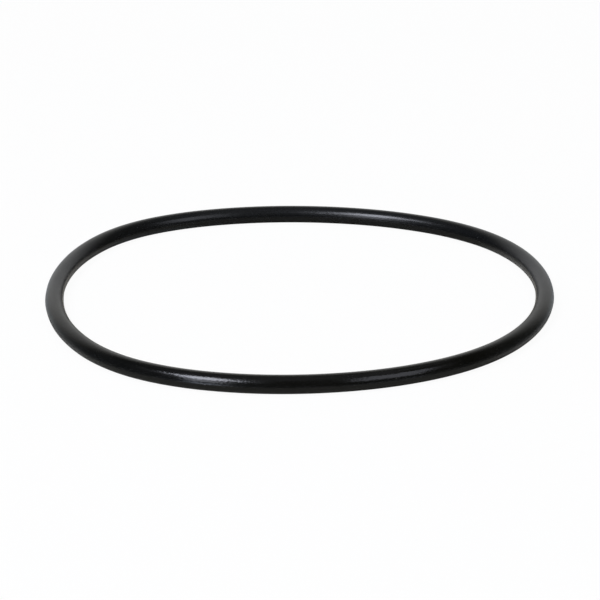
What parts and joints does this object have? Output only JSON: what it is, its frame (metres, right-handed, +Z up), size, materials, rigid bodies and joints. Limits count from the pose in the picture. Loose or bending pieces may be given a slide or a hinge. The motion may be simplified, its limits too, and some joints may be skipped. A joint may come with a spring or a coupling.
{
  "type": "rubber o-ring",
  "caption": "Black rubber sealing ring of round section with a fine mould parting line, lying free and slightly out of round.",
  "frame": {"origin": "under the middle of the ring's outline, on the surface that the ring lies on", "axes": "+Z up, through the ring and across its thickness; +X to the right and +Y away from the viewer, as the picture shows the ring"},
  "size_m": [0.0846, 0.0846, 0.003],
  "materials": {
    "rubber": "moulded black rubber, satin, with a fine grain and a faint bloom"
  },
  "bodies": {
    "root": {"ring": "rubber"}
  },
  "joints": []
}
